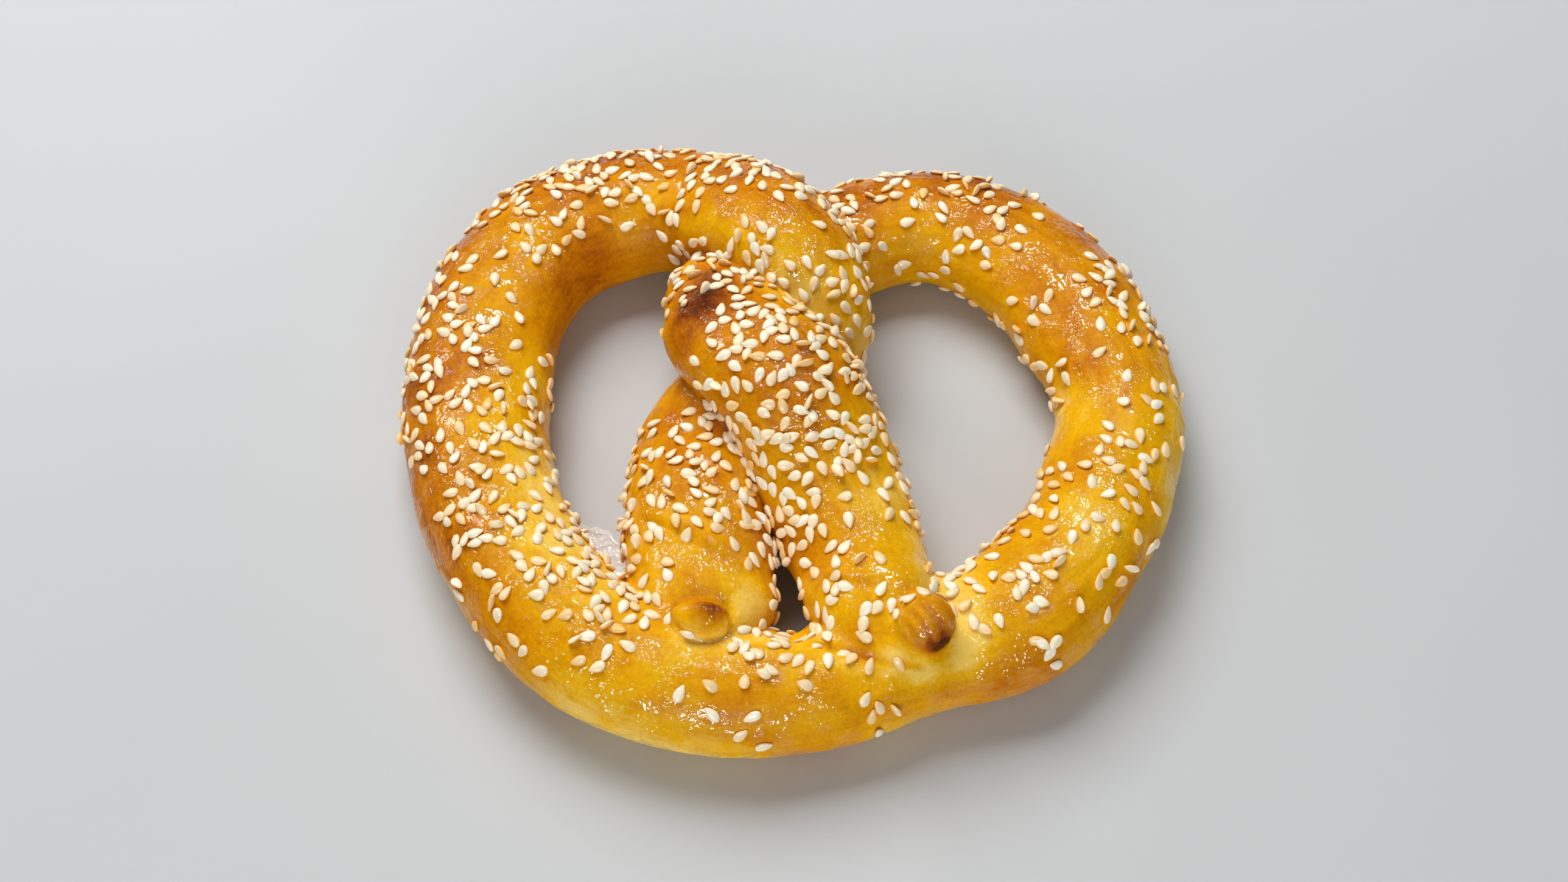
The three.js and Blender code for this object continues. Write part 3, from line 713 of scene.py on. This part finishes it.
def give_values(mesh, name, values):
    """Stores one number or one vector for each vertex."""
    values = np.asarray(values, np.float32)
    if values.ndim == 1:
        layer = mesh.attributes.new(name, "FLOAT", "POINT")
        layer.data.foreach_set("value", values)
    else:
        layer = mesh.attributes.new(name, "FLOAT_VECTOR", "POINT")
        layer.data.foreach_set("vector", values.ravel())


def add_node(tree, kind, inputs=None, **settings):
    """Adds a node, sets it up, and sets or links its inputs."""
    node = tree.nodes.new("ShaderNode" + kind)
    for name, value in settings.items():
        setattr(node, name, value)
    for name, value in (inputs or {}).items():
        if isinstance(value, bpy.types.NodeSocket):
            tree.links.new(value, node.inputs[name])
        else:
            node.inputs[name].default_value = value
    return node


def new_material(name):
    """An empty material, its node tree, and the object's coordinates in it."""
    material = bpy.data.materials.new(name)
    material.use_nodes = True
    tree = material.node_tree
    tree.nodes.clear()
    return material, tree, add_node(tree, "TexCoord").outputs["Object"]


def add_shader(tree, looks):
    shader = add_node(tree, "BsdfPrincipled", looks)
    add_node(tree, "OutputMaterial", {"Surface": shader.outputs["BSDF"]})


def skin_value(tree, name, output="Fac"):
    return add_node(tree, "Attribute", attribute_name=name).outputs[output]


def noise(tree, place, scale, detail=2.0, roughness=0.5, distortion=0.0):
    return add_node(tree, "TexNoise", {
        "Vector": place, "Scale": scale, "Detail": detail,
        "Roughness": roughness, "Distortion": distortion,
    }).outputs["Fac"]


def bump(tree, height, strength, distance):
    return add_node(
        tree, "Bump", {"Height": height, "Strength": strength, "Distance": distance}
    ).outputs["Normal"]


def maths(tree, operation, *values, **settings):
    """One Math node on two or three values."""
    inputs = dict(enumerate(values))
    return add_node(tree, "Math", inputs, operation=operation, **settings).outputs[0]


def stretched(tree, value, low, high, start=0.0, end=1.0):
    """A value that goes from start to end while another goes from low to high."""
    return add_node(tree, "MapRange", {
        "Value": value, "From Min": low, "From Max": high, "To Min": start, "To Max": end,
    }).outputs["Result"]


def varied(tree, level, unevenness, amount):
    """A level moved up and down by an unevenness that is 0.5 on average."""
    centred = maths(tree, "SUBTRACT", unevenness, 0.5)
    return maths(tree, "MULTIPLY_ADD", centred, amount, level)


def ramp(tree, value, stops):
    node = add_node(tree, "ValToRGB", {"Fac": value})
    elements = node.color_ramp.elements
    while len(elements) < len(stops):
        elements.new(0.5)
    for element, (place, tone) in zip(elements, stops):
        element.position = place
        element.color = tone
    return node.outputs["Color"]


def crust_material(settings):
    """Egg-glazed crust: baked colour with painted shade and light, mottles, strokes and specks
    under a clear coat.
    """
    material, tree, place = new_material("crust")
    rope_place = skin_value(tree, "rope", "Vector")
    stroke_place = add_node(
        tree, "VectorMath", {0: rope_place, 1: (0.07, 0.42, 0.0)}, operation="MULTIPLY"
    ).outputs["Vector"]
    mottle = noise(tree, place, scale=110.0, detail=4.0, roughness=0.6, distortion=0.5)
    strokes = noise(tree, stroke_place, scale=1.0, detail=3.0, roughness=0.6)
    specks = noise(tree, place, scale=1250.0, detail=3.0, roughness=0.7)
    # The level of baking also carries painted shade and painted light.
    level = skin_value(tree, "bake")
    for unevenness, amount in ((mottle, 0.5), (strokes, 0.35), (specks, 0.38)):
        level = varied(tree, level, unevenness, amount)
    tone = ramp(tree, level, [
        (0.02, settings.cream),
        (0.22, settings.yellow),
        (0.42, settings.gold),
        (0.62, settings.amber),
        (0.84, settings.chestnut),
        (1.0, settings.burnt),
    ])
    film = noise(tree, place, scale=150.0, roughness=0.45, distortion=0.9)
    glazed = stretched(tree, film, low=0.45, high=0.51, start=0.10, end=0.9)
    glazed = maths(tree, "SUBTRACT", glazed, skin_value(tree, "bare"), use_clamp=True)
    wrinkles = noise(tree, place, scale=400.0, detail=1.0, distortion=1.4)
    wrinkled = stretched(tree, mottle, low=0.44, high=0.56, start=0.8, end=2.2)
    film_height = maths(tree, "MULTIPLY", wrinkles, wrinkled)
    brushed = noise(
        tree, stroke_place, scale=1.6, detail=1.0, roughness=0.4, distortion=0.4
    )
    cells = add_node(tree, "TexVoronoi", {"Vector": place, "Scale": 800.0})
    bubbles = stretched(
        tree, cells.outputs["Distance"], low=0.10, high=0.30, start=1.0, end=0.0
    )
    frothy = stretched(tree, film, low=0.60, high=0.66)
    bubbles = maths(tree, "MULTIPLY", bubbles, frothy)
    for part, amount in ((bubbles, 0.5), (film, 0.8), (brushed, 0.5), (glazed, 0.06)):
        film_height = maths(tree, "MULTIPLY_ADD", part, amount, film_height)
    add_shader(tree, {
        "Base Color": tone,
        "Roughness": 0.42,
        "IOR": 1.42,
        "Specular IOR Level": 0.06,
        "Normal": bump(tree, specks, strength=0.3, distance=0.0004),
        "Subsurface Weight": 0.10,
        "Subsurface Radius": (1.0, 0.42, 0.12),
        "Subsurface Scale": 0.002,
        "Coat Weight": glazed,
        "Coat Roughness": 0.035,
        "Coat IOR": 1.46,
        "Coat Normal": bump(tree, film_height, strength=1.0, distance=0.0003),
    })
    return material


def sesame_material(settings):
    """Hulled sesame: cream to toasted tan, the tan also painted as warm shade on the lower rims,
    a faint grain, and a thin gloss of glaze.
    """
    material, tree, place = new_material("sesame")
    grain = noise(tree, place, scale=900.0)
    # Toasting together with the painted shade of the lower rims.
    level = varied(tree, skin_value(tree, "toast"), grain, 0.35)
    add_shader(tree, {
        "Base Color": ramp(tree, level, [(0.0, settings.white), (1.0, settings.tan)]),
        "Roughness": 0.5,
        "Normal": bump(tree, grain, strength=0.3, distance=0.0001),
        "Subsurface Weight": 0.2,
        "Subsurface Radius": (1.0, 0.8, 0.5),
        "Subsurface Scale": 0.0004,
        "Coat Weight": 0.3,
        "Coat Roughness": 0.2,
    })
    return material


def glaze_material(settings):
    """Clear thin egg glaze, wavy and glossy."""
    material, tree, place = new_material("glaze")
    film = noise(tree, place, scale=400.0)
    clear = (1.0, 1.0, 1.0, 1.0)
    add_shader(tree, {
        "Base Color": ramp(tree, film, [(0.3, settings.tint), (0.7, clear)]),
        "Roughness": 0.08,
        "IOR": 1.4,
        "Alpha": 0.72,
        "Normal": bump(tree, film, strength=1.0, distance=0.0006),
        "Coat Weight": 1.0,
    })
    return material


def floor_material(settings):
    """Matt paper with faint darker clouds."""
    material, tree, place = new_material("floor_paper")
    grain = noise(tree, place, scale=6.0, detail=3.0)
    darker = [channel * 0.96 for channel in settings.floor[:3]]
    tone = ramp(tree, grain, [(0.35, (*darker, 1.0)), (0.65, settings.floor)])
    add_shader(tree, {"Base Color": tone, "Roughness": 0.75, "Specular IOR Level": 0.2})
    return material


# ---------------- the seeds

WIDEST = 0.40  # where a seed is widest, as a share of its length from the round end
FULLNESS = 0.65  # how much of a seed's pointed half is full rather than drawn out
SEED_RINGS = (0.06, 0.2, 0.42, 0.66, 0.85, 0.96)
SEED_SIDES = 10

EVEN_CHANCE = 0.42  # how readily seeds stick where no patch says otherwise
UNDERHANG = 0.25  # how far a normal may point down where seeds still stick
SEEDLESS_HEIGHT = 3.5  # none stick below this height
SEEDED_OVER = 5.0  # and this much higher they stick fully
CLUMPING = 0.35
TRIED_SHARE = 0.2  # share of the skin's points that are tried
SQUEEZED_SHARE = 0.10  # share of the seeds that may squeeze in
HEAPED_SHARE = 0.25  # and how much larger it is where seeds stick this readily
HEAPED_CHANCE = 0.9
SQUEEZED_GAP = 0.62  # share of the gap that is left between squeezed seeds
CROWDED_GAP = 0.85  # seeds closer than this share of the gap push each other up

TILT = 0.16  # how much seeds tip and roll, in radians
CROWDED_TILT = 0.35
EDGE_SHARE = 0.08  # share of the seeds that stand on edge
EDGE_ROLL = (1.2, 0.2)
CROWDED_LIFT = (0.2, 0.6)
SIZE_RANGE = (0.90, 1.10)
TOASTING = (1.3, 3.0)  # shapes the spread of toasting: most seeds are pale


def seed_girth(share):
    """Half width of a seed from its round end, 0, to its tip, 1: a teardrop with a beak."""
    if share < WIDEST:
        return math.sqrt(max(1.0 - (1.0 - share / WIDEST) ** 2, 0.0))
    drawn = (share - WIDEST) / (1 - WIDEST)
    full = math.sqrt(max(1.0 - drawn**2, 0.0))
    beaked = 0.5 + 0.5 * math.cos(math.pi * drawn)
    return FULLNESS * full + (1 - FULLNESS) * beaked


def seed_shape(settings):
    """One flat seed lying along X, and how much darker its rim and tip are: painted warm shade on
    the lower rim, more toasting at the tip.
    """
    half_length = settings.seed_length / MM / 2
    half_width = settings.seed_width / MM / 2
    half_height = settings.seed_height / MM / 2
    vertices = [[half_length, 0.0, 0.0]]
    rim = [0.2]
    for share in SEED_RINGS:
        girth = seed_girth(share)
        plump = girth**0.7
        for side in range(SEED_SIDES):
            turn = 2 * math.pi * side / SEED_SIDES
            wide = math.cos(turn) * girth * half_width
            high = math.copysign(abs(math.sin(turn)) ** 0.8, math.sin(turn)) * plump
            vertices.append([half_length * (1 - 2 * share), wide, high * half_height])
            # Painted warm shade that grows towards the lower rim, and more toasting towards the
            # tip.
            rim.append(0.35 * (1.0 - math.sin(turn)) ** 1.5 + 0.35 * share**4)
    vertices.append([-half_length, 0.0, 0.0])
    rim.append(0.6)
    last = len(vertices) - 1
    end = last - SEED_SIDES
    faces = []
    for side in range(SEED_SIDES):
        after = (side + 1) % SEED_SIDES
        faces.append([0, 1 + side, 1 + after])
        faces.append([last, end + after, end + side])
        for here in range(1, end, SEED_SIDES):
            there = here + SEED_SIDES
            faces.append([here + side, there + side, there + after, here + after])
    return np.array(vertices), faces, np.array(rim)


def seed_chance(places, normals):
    """How readily seeds stick at each place, from 0 to 1."""
    chance = EVEN_CHANCE + patches_at(places[:, :2], SEED_PATCHES)
    upward = np.clip((normals[:, 2] + UNDERHANG) / (1 - UNDERHANG), 0.0, 1.0)
    raised = np.clip((places[:, 2] - SEEDLESS_HEIGHT) / SEEDED_OVER, 0.0, 1.0)
    clumps = ripple(places, size=9.0, seed=31) * CLUMPING + 1.0
    chance *= upward**0.8 * raised * clumps
    return np.clip(chance + patches_at(places, RIM_SEED_PATCHES), 0.0, 1.0)


def vertex_vectors(mesh, name):
    """The places, co, or the normals, normal, of a mesh's vertices."""
    vectors = np.empty(len(mesh.vertices) * 3, np.float32)
    mesh.vertices.foreach_get(name, vectors)
    return vectors.reshape(-1, 3)


def scatter_places(settings, mesh, random):
    """Places and normals of the seeds on the dough, and which ones crowd their neighbours."""
    places = vertex_vectors(mesh, "co") / MM
    normals = vertex_vectors(mesh, "normal")
    chance = seed_chance(places, normals)
    order = random.permutation(len(places))
    order = order[random.random(len(places)) < chance[order] * TRIED_SHARE]
    gap = settings.gap / MM
    chosen = []
    crowding = []
    kept = np.empty((settings.count, 3))
    for index in order:
        if len(chosen) == settings.count:
            break
        place = places[index]
        heaped = HEAPED_SHARE * (chance[index] > HEAPED_CHANCE)
        squeezed = random.random() < SQUEEZED_SHARE + heaped
        nearest = gap
        if chosen:
            nearest = math.sqrt(((kept[: len(chosen)] - place) ** 2).sum(1).min())
        if nearest < gap * (SQUEEZED_GAP if squeezed else 1.0):
            continue
        kept[len(chosen)] = place
        chosen.append(index)
        crowding.append(nearest < gap * CROWDED_GAP)
    return places[chosen], normals[chosen], crowding


def turn_frame(normal, spin, tip, roll):
    """Directions along, across and up of a seed lying on a skin with this normal."""
    up = Vector(normal).normalized()
    side = up.orthogonal().normalized()
    along = side * math.cos(spin) + up.cross(side) * math.sin(spin)
    across = up.cross(along)
    tilted = (along * math.cos(tip) + up * math.sin(tip)).normalized()
    raised = tilted.cross(across).normalized()
    wide = across * math.cos(roll) + raised * math.sin(roll)
    return np.array([tilted, wide, tilted.cross(wide)])


def lay_seeds(settings, mesh):
    """Vertices and faces of all the seeds, and how toasted each vertex is, with painted shade on
    the lower rims.
    """
    random = np.random.default_rng(RANDOM_START)
    shape, shape_faces, rim = seed_shape(settings)
    vertices = []
    faces = []
    toasts_and_shades = []
    for place, normal, crowded in zip(*scatter_places(settings, mesh, random)):
        spin = random.uniform(0.0, 2 * math.pi)
        tip = random.normal(0.0, TILT)
        tip += crowded * random.choice([-CROWDED_TILT, CROWDED_TILT])
        on_edge = random.random() < EDGE_SHARE
        roll = random.normal(*EDGE_ROLL) if on_edge else random.normal(0.0, TILT)
        size = random.uniform(*SIZE_RANGE, 3)
        lift = settings.seed_height / MM * (0.8 if on_edge else 0.5) - settings.sunk / MM
        lift += crowded * random.uniform(*CROWDED_LIFT)
        turned = turn_frame(normal, spin, tip, roll)
        first = len(vertices) * len(shape)
        faces.extend([corner + first for corner in face] for face in shape_faces)
        vertices.append((shape * size) @ turned + place + normal * lift)
        # Each seed's toasting, plus the painted shade of its lower rim and the toasting of its
        # tip.
        toasts_and_shades.append(random.beta(*TOASTING) + rim)
    return np.vstack(vertices), faces, np.concatenate(toasts_and_shades)


# ---------------- the glaze on the table

PUDDLE_MIDDLE = (-37.5, -25.5)
PUDDLE_LEAN = math.radians(116.0)
PUDDLE_HALF = (10.5, 5.5)
PUDDLE_WAVES = ((3, 0.07, 0.6), (7, 0.05, 0.0), (13, 0.03, 0.0))  # count, height, start
PUDDLE_SIDES = 64
PUDDLE_RINGS = 12
BEAD = 0.9  # where the thicker rim of the film is, as a share of the way out
BEAD_WIDTH = 0.06
BEAD_RISE = 0.90  # how much the rim adds, as a share of the film's height
LEVEL_RISE = 0.30  # how high the rest of the film is, as a share of it
RIPPLE_RISE = 0.35


def puddle_shape(settings):
    """A thin wavy film on the table in the corner between the left arm and the loop."""
    height = settings.height / MM
    middle = np.array(PUDDLE_MIDDLE)
    along = np.array([math.cos(PUDDLE_LEAN), math.sin(PUDDLE_LEAN)])
    across = np.array([-along[1], along[0]])
    turns = np.linspace(0.0, 2 * math.pi, PUDDLE_SIDES, endpoint=False)
    wave = 1.0 + sum(rise * np.sin(count * turns + start) for count, rise, start in PUDDLE_WAVES)
    rim = middle + np.outer(np.cos(turns) * PUDDLE_HALF[0] * wave, along)
    rim = rim + np.outer(np.sin(turns) * PUDDLE_HALF[1] * wave, across)
    vertices = []
    for ring in range(1, PUDDLE_RINGS + 1):
        share = ring / PUDDLE_RINGS
        flat = middle + (rim - middle) * share
        dome = LEVEL_RISE + BEAD_RISE * math.exp(-(((share - BEAD) / BEAD_WIDTH) ** 2))
        edge = math.sqrt(max(1.0 - share**14, 0.0))
        ripples = ripple(np.column_stack([flat, flat[:, 0] * 0]), size=2.8, seed=41)
        level = height * (dome + RIPPLE_RISE * ripples) * edge + 0.03
        vertices.extend(np.column_stack([flat, level]).tolist())
    top_middle = len(vertices)
    vertices.append([*middle, height * 0.45])
    under = len(vertices)
    vertices.extend(np.column_stack([rim, np.full(PUDDLE_SIDES, 0.01)]).tolist())
    last = top_middle - PUDDLE_SIDES
    faces = []
    for side in range(PUDDLE_SIDES):
        after = (side + 1) % PUDDLE_SIDES
        faces.append([top_middle, side, after])
        for inner in range(0, last, PUDDLE_SIDES):
            outer = inner + PUDDLE_SIDES
            faces.append([inner + side, outer + side, outer + after, inner + after])
        faces.append([last + side, under + side, under + after, last + after])
    faces.append([under + side for side in reversed(range(PUDDLE_SIDES))])
    return vertices, faces


# ---------------- the stage

# Places and sizes on the stage are in metres.
CAMERA_TARGET = (-0.0018, -0.0019, 0.010)
NEAREST_SEEN = 0.01
SENSOR_WIDTH = 36.0  # in millimetres, as the lens is

# Panels that only light the pretzel: name, place, width and height, and the setting
# that gives the power.
SOFT_LIGHTS = [
    ("key", (-0.26, 0.62, 0.80), (0.7, 0.7), "key"),
    ("fill", (0.0, -0.80, 0.28), (0.6, 0.4), "front"),
]
# Panels that only shine in the glaze: name, place, width and height, and share of the
# gleam's power.
GLEAMS = [
    ("gleam_front", (-0.10, -0.62, 0.40), (0.28, 0.09), 2.5),
    ("gleam_back", (0.05, 0.42, 0.70), (0.20, 0.14), 1.4),
    ("gleam_left", (-0.45, 0.30, 0.50), (0.20, 0.20), 0.9),
    ("gleam_right", (0.34, 0.16, 0.68), (0.10, 0.10), 0.5),
    ("glint_0", (0.30, -0.20, 0.75), (0.035, 0.035), 0.35),
    ("glint_1", (-0.20, 0.10, 0.80), (0.035, 0.035), 0.35),
    ("glint_2", (-0.32, 0.50, 0.62), (0.035, 0.035), 0.35),
]


def lay_floor(settings):
    """A level square of paper, which isn't part of the pretzel."""
    half = settings.floor_size / MM / 2
    corners = [[-half, -half, 0], [half, -half, 0], [half, half, 0], [-half, half, 0]]
    floor = mesh_object("floor", corners, [[0, 1, 2, 3]], floor_material(settings))


def hang_panel(name, place, size, strength):
    """A soft rectangular light aimed at the pretzel."""
    panel = bpy.data.lights.new(name, "AREA")
    panel.shape = "RECTANGLE"
    panel.size, panel.size_y = size
    panel.energy = strength
    lamp = bpy.data.objects.new(name, panel)
    bpy.context.scene.collection.objects.link(lamp)
    lamp.location = place
    lamp.rotation_euler = (-Vector(place)).to_track_quat("-Z", "Y").to_euler()
    return lamp


def hang_lights(scene, settings):
    """Even light from all around, the soft lights and the gleams."""
    world = bpy.data.worlds.new("studio")
    world.use_nodes = True
    sky = world.node_tree.nodes["Background"]
    sky.inputs["Color"].default_value = (1.0, 1.0, 1.0, 1.0)
    sky.inputs["Strength"].default_value = settings.sky
    scene.world = world
    world.cycles_visibility.glossy = False
    for name, place, size, setting in SOFT_LIGHTS:
        hang_panel(name, place, size, getattr(settings, setting)).visible_glossy = False
    for name, place, size, share in GLEAMS:
        hang_panel(name, place, size, settings.gleam * share).visible_diffuse = False


def set_camera(scene, settings):
    """The camera, in front of the pretzel and looking down at it."""
    camera_data = bpy.data.cameras.new("camera")
    camera_data.lens = settings.lens
    camera_data.sensor_width = SENSOR_WIDTH
    camera_data.clip_start = NEAREST_SEEN
    camera = bpy.data.objects.new("camera", camera_data)
    scene.collection.objects.link(camera)
    back = Vector((0.0, -math.cos(settings.elevation), math.sin(settings.elevation)))
    camera.location = Vector(CAMERA_TARGET) + back * settings.distance
    camera.rotation_euler = (-back).to_track_quat("-Z", "Y").to_euler()
    scene.camera = camera
    scene.view_settings.view_transform = "Standard"


# ---------------- operators


class PRETZEL_OT_dough(bpy.types.Operator):
    """Shape the dough rope and colour its crust, painted shade and light included"""

    bl_idname = "pretzel.make_dough"
    bl_label = "Bake dough"

    def execute(self, context):
        settings = context.scene.pretzel_dough
        vertices, faces, bake, bare, rope_place = shape_dough(settings)
        crust = crust_material(settings)
        # The crust's values carry painted shade and light along with the baked colour.
        dough = mesh_object(
            "dough", vertices, faces, crust, bake=bake, bare=bare, rope=rope_place
        )
        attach(dough, BODY)
        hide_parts(NODE)
        return {"FINISHED"}


class PRETZEL_OT_sesame(bpy.types.Operator):
    """Strew the sesame seeds over the crust"""

    bl_idname = "pretzel.strew_sesame"
    bl_label = "Strew sesame"

    def execute(self, context):
        settings = context.scene.pretzel_seeds
        vertices, faces, toasts_and_shades = lay_seeds(settings, bpy.data.objects["dough"].data)
        sesame = sesame_material(settings)
        # The seeds' values hold toasting and the painted shade of their lower rims.
        seeds = mesh_object("sesame_seeds", vertices, faces, sesame, toast=toasts_and_shades)
        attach(seeds, BODY)
        return {"FINISHED"}


class PRETZEL_OT_glaze(bpy.types.Operator):
    """Pour the film of clear glaze that ran onto the table"""

    bl_idname = "pretzel.pour_glaze"
    bl_label = "Pour glaze"

    def execute(self, context):
        settings = context.scene.pretzel_glaze
        vertices, faces = puddle_shape(settings)
        puddle = mesh_object("glaze_film", vertices, faces, glaze_material(settings))
        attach(puddle, BODY)
        return {"FINISHED"}


class PRETZEL_OT_stage(bpy.types.Operator):
    """Set the floor, the lights and the camera"""

    bl_idname = "pretzel.set_stage"
    bl_label = "Set stage"

    def execute(self, context):
        settings = context.scene.pretzel_stage
        lay_floor(settings)
        hang_lights(context.scene, settings)
        set_camera(context.scene, settings)
        return {"FINISHED"}


class PRETZEL_PT_panel(bpy.types.Panel):
    """Lists the pretzel's steps in the 3D view's sidebar"""

    bl_idname = "PRETZEL_PT_panel"
    bl_label = "Pretzel"
    bl_space_type = "VIEW_3D"
    bl_region_type = "UI"
    bl_category = "Pretzel"

    def draw(self, context):
        for step in STEPS:
            self.layout.operator(step.bl_idname)


STEPS = (PRETZEL_OT_dough, PRETZEL_OT_sesame, PRETZEL_OT_glaze, PRETZEL_OT_stage)
SETTINGS = {
    "pretzel_dough": DoughSettings,
    "pretzel_seeds": SeedSettings,
    "pretzel_glaze": GlazeSettings,
    "pretzel_stage": StageSettings,
}


def register():
    for kind in (*SETTINGS.values(), *STEPS, PRETZEL_PT_panel):
        bpy.utils.register_class(kind)
    for name, kind in SETTINGS.items():
        setattr(bpy.types.Scene, name, bpy.props.PointerProperty(type=kind))


def unregister():
    for name in SETTINGS:
        delattr(bpy.types.Scene, name)
    for kind in (PRETZEL_PT_panel, *reversed(STEPS), *reversed(list(SETTINGS.values()))):
        bpy.utils.unregister_class(kind)


def main():
    register()
    bpy.ops.pretzel.make_dough()
    bpy.ops.pretzel.strew_sesame()
    bpy.ops.pretzel.pour_glaze()
    bpy.ops.pretzel.set_stage()


if __name__ == "__main__":
    main()
